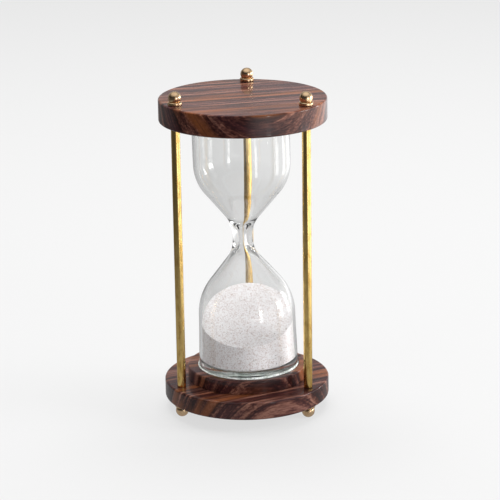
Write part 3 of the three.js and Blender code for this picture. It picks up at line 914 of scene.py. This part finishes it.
@dataclass(frozen=True)
class Bulb:
    """The blown glass, its cork stopper and its sand. Heights are above the glass's own foot."""

    foot: float = 18.5321 * MM
    length: float = 119.5385 * MM
    wall: float = 1.4 * MM
    floor: float = 4.1 * MM
    roof: float = 1.8 * MM
    foot_radius: float = 22.9 * MM
    lower_radius: float = 22.0 * MM
    upper_radius: float = 22.1 * MM
    neck_radius: float = 4.6 * MM
    neck_length: float = 11.7 * MM
    neck_round: float = 13.0 * MM
    neck_height: float = 62.7693 * MM
    neck_drift: float = -0.75 * MM
    drift_spread: float = 13.0 * MM
    cone_rise: float = 21.35 * MM
    lower_round: float = 26.0 * MM
    upper_round: float = 20.0 * MM
    end_round: float = 2.4 * MM
    inner_round: float = 1.6 * MM
    orifice: float = 1.2 * MM
    orifice_round: float = 8.5 * MM
    fill_hole: float = 4.5 * MM
    stopper_length: float = 5.0 * MM
    sand_gap: float = 0.06 * MM
    sand_depth: float = 25.6 * MM
    sand_slope: float = 23.7
    sand_around: int = 220
    sand_rows: int = 90
    top_rows: int = 96
    halvings: int = 40
    cork_around: int = 64
    shift: float = 2.3 * MM
    span: float = 122.0 * MM
    pivot: float = 51.966 * MM
    longest: float = 1.3 * MM
    body: str = "timer_frame"
    around: int = 176

    def lean(self) -> Lean:
        """How the glass leans between its two sockets."""
        return Lean(math.atan2(self.shift, self.span), self.foot + self.pivot)

    def meet(self, side: float, body: float, radius: float, inset: float) -> float:
        """Height at which the flank, drawn in by an inset, has the given radius."""
        slope = (body - self.neck_radius) / self.cone_rise
        corner = self.neck_height + side * self.neck_length / 2
        return corner + side * (radius - self.neck_radius + inset * math.hypot(1.0, slope)) / slope

    def outside(self) -> list[Corner]:
        """Corners of the outer skin, from the middle of the foot to the fill hole."""
        low, high = (self.neck_height + side * self.neck_length / 2 for side in (-1, 1))
        return [Corner(0.0, 0.0), Corner(self.foot_radius, 0.0, self.end_round),
                Corner(self.lower_radius, low - self.cone_rise, self.lower_round),
                Corner(self.neck_radius, low, self.neck_round),
                Corner(self.neck_radius, high, self.neck_round),
                Corner(self.upper_radius, high + self.cone_rise, self.upper_round),
                Corner(self.upper_radius, self.length, self.end_round), Corner(self.fill_hole, self.length)]

    def inside(self, gap: float = 0.0) -> list[Corner]:
        """Corners of the inner skin, from the middle of the floor to the fill hole, drawn in by a gap."""
        inset, orifice, roof = self.wall + gap, self.orifice - gap, self.length - self.roof
        lower, upper, floor = self.lower_radius, self.upper_radius, self.floor + gap
        return [Corner(0.0, floor), Corner(self.foot_radius - inset, floor, self.inner_round),
                Corner(lower - inset, self.meet(-1, lower, lower - inset, inset), self.lower_round - inset),
                Corner(orifice, self.meet(-1, lower, orifice, inset), self.orifice_round),
                Corner(orifice, self.meet(1, upper, orifice, inset), self.orifice_round),
                Corner(upper - inset, self.meet(1, upper, upper - inset, inset), self.upper_round - inset),
                Corner(upper - inset, roof, self.inner_round), Corner(self.fill_hole, roof)]

    def hand(self, grid: Points, seed: int, size: float) -> Points:
        """Adds the small waves of hand work: points move out by a wave of their angle and height.

        The neck also drifts sideways by a bell curve of the height.

        Args:
            grid: The surface's points before they lean.
            seed: Chooses the waves.
            size: Largest move.

        Returns:
            The moved points.
        """
        out = np.hypot(grid[..., 0], grid[..., 1])
        angle = np.arctan2(grid[..., 1], grid[..., 0])
        up = grid[..., 2] / self.length
        wave = (ripple(angle + 3.1 * up, seed, 2, 6) * (0.55 + 0.45 * np.sin(17 * up + seed))
                + 0.45 * np.sin(31 * up + 2 * seed + np.sin(angle)))
        grow = 1.0 + np.clip(out / self.foot_radius, 0, 1) ** 2 * size * wave / np.maximum(out, MM)
        drift = self.neck_drift * np.exp(-(((grid[..., 2] - self.neck_height) / self.drift_spread) ** 2))
        return np.stack([grid[..., 0] * grow + drift, grid[..., 1] * grow, grid[..., 2]], axis=-1)

    def raised(self, grid: Points) -> Points:
        """Lifts points onto the glass's foot and leans them."""
        return self.lean().apply(grid + np.array([0.0, 0.0, self.foot]))

    def glass(self) -> Piece:
        """The blown shell: outer skin and inner skin joined at the fill hole."""
        outer, inner = (outline(skin, longest=self.longest, step=5.0, near=0.2 * MM)
                        for skin in (self.outside(), self.inside()))
        grid = self.raised(np.concatenate([self.hand(turned(outer, self.around), 3, 0.07 * MM),
                                           self.hand(turned(inner[::-1], self.around), 8, 0.05 * MM)]))
        return fit(shell("blown_bulbs", grid, sharp=60.0), GLASS, Slot.GLASS, self.body, "glass_bulb")

    def stopper(self) -> Piece:
        """The cork in the fill hole: a short taper with softened ends."""
        top = self.length - 0.05 * MM
        low = top - self.stopper_length
        wall = outline([Corner(0.0, low), Corner(self.fill_hole - 0.6 * MM, low, 0.4 * MM),
                        Corner(self.fill_hole - 0.2 * MM, top, 0.2 * MM), Corner(0.0, top)], longest=0.8 * MM)
        cork = shell("filling_cork", self.raised(turned(wall, self.cork_around)))
        return fit(cork, CORK, Slot.CORK, self.body, "fill_stopper")

    def surface(self, x: Points, y: Points) -> Points:
        """Height of the poured sand: a tilted plane with a low hump and small slides.

        depth + y tan(slope) + the sum of a few slow waves of x and y, all in metres.
        """
        plane = self.sand_depth + y * math.tan(math.radians(self.sand_slope))
        wide, fine = 1.0 / (9.0 * MM), 1.0 / (3.1 * MM)
        return (plane + 0.22 * MM * np.sin(x * wide + 0.6) * np.cos(y * wide * 0.8 - 0.4)
                + 0.07 * MM * np.sin(x * fine + 2.2 * np.sin(y * fine * 0.6)) * np.cos(y * fine - 1.1))

    def sand(self) -> Piece:
        """The sand: it fills the lower bulb to a sloping surface.

        For each angle the inner skin is followed from the middle of the floor to the height at
        which it meets the surface; the surface then runs back to the axis.
        """
        skin = outline(self.inside(self.sand_gap)[:5], longest=0.5 * MM, step=4.0)
        skin = skin[skin[:, 1] < self.neck_height]
        length = np.concatenate([[0.0], np.cumsum(np.hypot(*np.diff(skin, axis=0).T))])
        angle = bearings(self.sand_around)
        low, high = np.full(angle.size, self.foot_radius * 0.9), np.full(angle.size, length[-1])
        for _ in range(self.halvings):
            half = (low + high) / 2
            out, up = np.interp(half, length, skin[:, 0]), np.interp(half, length, skin[:, 1])
            under = up < self.surface(out * np.cos(angle), out * np.sin(angle))
            low, high = np.where(under, half, low), np.where(under, high, half)
        way = np.linspace(0.0, 1.0, self.sand_rows)[:, None] * low
        out, up = np.interp(way, length, skin[:, 0]), np.interp(way, length, skin[:, 1])
        back = out[-1] * np.linspace(1.0, 0.0, self.top_rows)[1:, None]
        top = self.surface(back * np.cos(angle), back * np.sin(angle))
        grid = self.raised(np.concatenate([swept(out, angle, up), swept(back, angle, top)]))
        return fit(shell("poured_sand", grid, sharp=40.0), SAND, Slot.SAND, self.body, "sand")

    def build(self) -> None:
        """Makes the glass, the cork and the sand."""
        self.glass()
        self.stopper()
        self.sand()


@dataclass(frozen=True)
class Seats:
    """What the glass sits on and is held by: a cork pad and a bead of glue in each socket."""

    bulb: Bulb
    plates: Plates
    body: str = "timer_frame"
    spare: float = 0.05 * MM
    jag: float = 0.55 * MM
    deepest: float = 1.1 * MM
    droop: float = 0.35 * MM
    off_pad: float = 0.25 * MM
    around: int = 420
    pad_edge: float = 0.15 * MM
    pad_around: int = 96

    def pad(self, node: str, name: str) -> Piece:
        """One cork disc with softened rims."""
        box = Extent.of(node)
        rim = [Corner(box.out, level, self.pad_edge) for level in (box.low, box.high)]
        wall = outline([Corner(0.0, box.low), *rim, Corner(0.0, box.high)], longest=2.0 * MM)
        return fit(shell(name, turned(wall, self.pad_around)), CORK, Slot.CORK, self.body, node)

    def bead(self, node: str, name: str, socket: float, shift: float, pad: float, up: bool,
             seed: int) -> Piece:
        """One bead of glue round an end of the glass.

        Its inner side follows the glass's skin a hair's breadth off, from under the end, round the
        softened corner and up to the lip; its outer side follows the socket. The lip is jagged by a
        quick wave of the angle.

        Args:
            node: The solid it stands for.
            name: The piece's name.
            socket: The socket's radius.
            shift: How far the socket's middle lies to the right of the axis.
            pad: The pad's radius.
            up: True for the lower bead, whose lip faces up.
            seed: Chooses the wave.

        Returns:
            The bead.
        """
        box, bulb = Extent.of(node), self.bulb
        angle = bearings(self.around)
        way, deep, lip = (1.0, box.low, box.high) if up else (-1.0, box.high, box.low)
        end, radius = (0.0, bulb.foot_radius) if up else (bulb.length, bulb.upper_radius)
        soft = bulb.end_round
        turn = np.linspace(0.0, math.pi / 2, 9)
        gap = soft + self.spare
        corner = np.stack([radius - soft + gap * np.sin(turn),
                           end + way * (soft - gap * np.cos(turn))], axis=-1)
        jag = np.clip(self.jag * (0.45 + 0.55 * ripple(angle, seed, 14, 130, 0.3)), 0.0, self.deepest)
        skin = np.concatenate([[[pad + 0.3 * MM, end - way * self.spare]], corner])
        inner = bulb.raised(turned(skin, self.around))
        hug = np.hypot(inner[-1, :, 0], inner[-1, :, 1])
        ring = shift * np.cos(angle) + np.sqrt(socket**2 - (shift * np.sin(angle)) ** 2)
        wall = np.maximum(ring - 0.02 * MM, hug + 0.15 * MM)
        share = np.linspace(0.0, 1.0, 8)[:, None]
        sag = self.droop * share**1.5 + jag * 0.25 * np.sin(share * math.pi * 1.4)
        crest = (lip - way * jag) - way * sag
        lid = swept(hug + (wall - hug) * share, angle, crest)
        near = pad + self.off_pad
        under = swept(near + (wall - pad - self.off_pad) * np.array([[1.0], [0.6], [0.2]]), angle, deep)
        piece = shell(name, np.concatenate([inner, lid, under]), ring=True, sharp=70.0)
        return fit(piece, GLUE, Slot.GLUE, self.body, node)

    def build(self) -> None:
        """Makes both pads and both beads."""
        plates = self.plates
        for end in ("base", "top"):
            self.pad(f"{end}_seat_pad", f"cork_pad_{end}")
        for end, socket, shift, up, seed in (("base", plates.plinth_socket, plates.plinth_shift, True, 5),
                                             ("top", plates.top_socket, 0.0, False, 11)):
            pad = Extent.of(f"{end}_seat_pad").out
            self.bead(f"{end}_glue", f"glue_bead_{end}", socket, shift, pad, up, seed)


# ---------------------------------------------------------------- studio


@dataclass(frozen=True)
class Lamp:
    """A rectangular soft light facing the timer: bearing and climb in degrees, distance, size and watts.

    A lamp that isn't mirrored doesn't show in gloss and glass.
    """

    name: str
    bearing: float
    climb: float
    away: float
    size: Pair
    power: float
    mirrored: bool = False


@dataclass(frozen=True)
class Window:
    """A small bright window: bearing, climb, width and height in degrees, and the glow of its pool."""

    bearing: float
    climb: float
    width: float
    tall: float
    pool: float
    level: float = 13.0
    away: float = 1.3

    def lamp(self, number: int) -> Lamp:
        """Its lamp, as bright as its level: watts are pi times area times level."""
        wide, tall = (2 * self.away * math.tan(math.radians(side / 2)) for side in (self.width, self.tall))
        power = math.pi * wide * tall * self.level
        return Lamp(f"window_{number}", self.bearing, self.climb, self.away, (wide, tall), power,
                    mirrored=True)


@dataclass(frozen=True)
class Studio:
    """Pale floor, soft light and the camera. Bearings are degrees to the right of the camera's own."""

    azimuth: float = 3.457
    elevation: float = 16.758
    distance: float = 0.9853
    target: Triple = (0.0023, 0.00014, 0.0747)
    lens: float = 154.99
    roll: float = -0.866
    dim: float = 0.06
    near: float = 0.34
    clear: float = 0.60
    bright: float = 1.2
    behind: float = 0.74
    behind_high: float = 0.36
    above: float = 0.8
    floor_glow: float = 0.66
    floor_reach: float = 0.30
    floor_matt: Colour = (0.11, 0.11, 0.11, 1.0)
    backdrop: Colour = (0.90, 0.90, 0.905, 1.0)
    middle: Triple = (0.0, 0.0, 0.075)
    lamps: tuple[Lamp, ...] = (Lamp("key", 80.0, 22.0, 1.3, (0.6, 0.6), 18.0),
                               Lamp("top", 180.0, 72.0, 1.2, (0.9, 0.6), 26.0),
                               Lamp("fill", -35.0, 22.0, 1.3, (1.0, 0.7), 6.0))
    windows: tuple[Window, ...] = (Window(34.0, 8.0, 5.0, 9.0, 3.4), Window(86.0, 9.0, 5.0, 10.0, 2.8),
                                   Window(93.5, 7.0, 5.0, 10.0, 2.8), Window(119.0, 9.0, 5.0, 9.0, 2.4))

    def bearing(self, degrees: float) -> Vector:
        """A level direction from the timer, turned to the right of the camera's direction."""
        a = math.radians(self.azimuth + degrees)
        return Vector((math.sin(a), -math.cos(a), 0.0))

    def camera(self) -> None:
        """Sets the camera: it looks at the target from its bearing, and is rolled a little."""
        e = math.radians(self.elevation)
        back = self.bearing(0.0) * math.cos(e) + Vector((0.0, 0.0, math.sin(e)))
        side = Vector((0.0, 0.0, 1.0)).cross(back).normalized()
        facing = Matrix((side, back.cross(side), back)).transposed()
        data = bpy.data.cameras.new("camera")
        data.lens, data.sensor_width, data.clip_start = self.lens, 36.0, 0.05
        eye = bpy.data.objects.new("camera", data)
        eye.matrix_world = (Matrix.Translation(Vector(self.target) + back * self.distance)
                            @ facing.to_4x4() @ Matrix.Rotation(math.radians(self.roll), 4, "Z"))
        bpy.context.scene.collection.objects.link(eye)
        bpy.context.scene.camera = eye

    def floor(self) -> None:
        """A wide pale floor: evenly white to the eye, while gloss and glass see the room's bounce on it."""
        piece = shell("floor", swept(np.array([0.0, 0.3, 0.8, 2.0, 6.0])[:, None], bearings(64), 0.0))
        material = bpy.data.materials.new("floor")
        bench = blank(material)
        matt = bench.fill(bench.lay("ShaderNodeBsdfDiffuse"), Color=self.floor_matt)
        glow = bench.fill(bench.lay("ShaderNodeEmission"), Color=(1.0, 1.0, 1.0, 1.0),
                          Strength=self.floor_glow)
        seen = bench.chain(bench.lay("ShaderNodeAddShader"), matt.outputs[0], glow.outputs[0])
        level = self.surroundings(bench, bench.place(), self.floor_reach)
        echo = bench.fill(bench.lay("ShaderNodeEmission"), Strength=level)
        shown = bench.mix(bench.ray("Is Camera Ray"), echo.outputs[0], seen)
        bench.fill(bench.lay("ShaderNodeOutputMaterial"), Surface=shown)
        piece.data.materials.append(material)

    def along(self, bench: Bench, vector: Any, way: Vector) -> Socket:
        """How far a vector reaches along a direction."""
        node = bench.lay("ShaderNodeVectorMath", operation="DOT_PRODUCT")
        bench.feed(node.inputs[0], vector)
        bench.feed(node.inputs[1], tuple(way))
        return node.outputs["Value"]

    def surroundings(self, bench: Bench, vector: Any, reach: float) -> Socket:
        """Brightness of the room towards a direction or a place on the floor.

        The largest of a smooth step to the right, one behind that is weaker to the left, and a
        glow near the timer; never darker than clear through glass. In two rings there is a bright
        strip at each window's bearing, the arc tangent of right over front.

        Args:
            bench: The bench to lay on.
            vector: A direction, or a place in metres.
            reach: Length that counts as fully to one side.

        Returns:
            The brightness.
        """
        across = self.along(bench, vector, self.bearing(90.0))
        front = self.along(bench, vector, self.bearing(0.0))
        away = bench.sum("SQRT", bench.plus(bench.times(across, across), bench.times(front, front)))
        side = bench.fade(across, -0.1 * reach, 0.9 * reach, 0.0, self.bright)
        back = bench.times(bench.fade(front, 0.15 * reach, -0.75 * reach, 0.0, self.behind),
                           bench.fade(across, -0.8 * reach, 0.1 * reach, 0.25, 1.0))
        near = bench.fade(away, 0.04, 0.45, self.near, self.dim)
        through = bench.times(bench.ray("Is Transmission Ray"), self.clear)
        level = bench.most(side, back, near, through)
        bearing = bench.sum("ARCTAN2", across, front)
        ring = bench.times(bench.fade(away, 0.26, 0.32), bench.fade(away, 0.61, 0.57))
        rings = bench.most(ring, bench.fade(away, 0.72, 0.78))
        for window in self.windows:
            off = bench.sum("ABSOLUTE", bench.minus(bearing, math.radians(window.bearing)))
            edge, core = (math.radians(window.width * share) for share in (0.75, 0.4))
            strip = bench.fade(off, edge, core, 0.0, window.pool)
            level = bench.plus(level, bench.times(strip, rings))
        return level

    def room(self) -> None:
        """The room's light: white above and to the right, dimmer to the left and in front."""
        world = bpy.data.worlds.new("room")
        bpy.context.scene.world = world
        bench = blank(world)
        way = bench.lay("ShaderNodeTexCoord").outputs["Generated"]
        up = bench.parts(way)[2]
        low = bench.times(self.surroundings(bench, way, 1.0), bench.fade(up, 0.35, 0.05, 0.25, 1.0))
        far = bench.fade(self.along(bench, way, self.bearing(180.0)), 0.2, 0.9, 0.0, self.behind_high)
        light = bench.most(low, far, bench.fade(up, 0.45, 0.95, 0.0, self.above))
        seen = bench.blend(bench.ray("Is Camera Ray"), light, self.backdrop)
        glow = bench.fill(bench.lay("ShaderNodeBackground"), Color=seen)
        bench.fill(bench.lay("ShaderNodeOutputWorld"), Surface=glow.outputs[0])

    def light(self, lamp: Lamp) -> None:
        """Hangs one lamp."""
        data = bpy.data.lights.new(lamp.name, "AREA")
        data.shape, data.energy = "RECTANGLE", lamp.power
        data.size, data.size_y = lamp.size
        rise = math.radians(lamp.climb)
        way = self.bearing(lamp.bearing) * math.cos(rise) + Vector((0.0, 0.0, math.sin(rise)))
        hung = bpy.data.objects.new(lamp.name, data)
        hung.location = Vector(self.middle) + way * lamp.away
        hung.rotation_euler = way.to_track_quat("Z", "Y").to_euler()
        hung.visible_glossy = hung.visible_transmission = lamp.mirrored
        bpy.context.scene.collection.objects.link(hung)

    def build(self) -> None:
        """Sets the camera, floor, room and lamps."""
        self.camera()
        self.floor()
        self.room()
        for lamp in (*self.lamps, *(window.lamp(number) for number, window in enumerate(self.windows))):
            self.light(lamp)
        bpy.context.scene.view_settings.view_transform = "Standard"


def main() -> None:
    """Loads the frame and builds the timer and the studio."""
    logging.basicConfig(level=logging.INFO, format="%(name)s: %(message)s")
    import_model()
    studio = Studio()
    pillars = Pillars()
    plates = Plates(pillars)
    bulb = Bulb()
    for part in (plates, pillars, BallNuts(pillars), bulb, Seats(bulb, plates), studio):
        part.build()
        LOG.info("built %s", type(part).__name__)


if __name__ == "__main__":
    main()
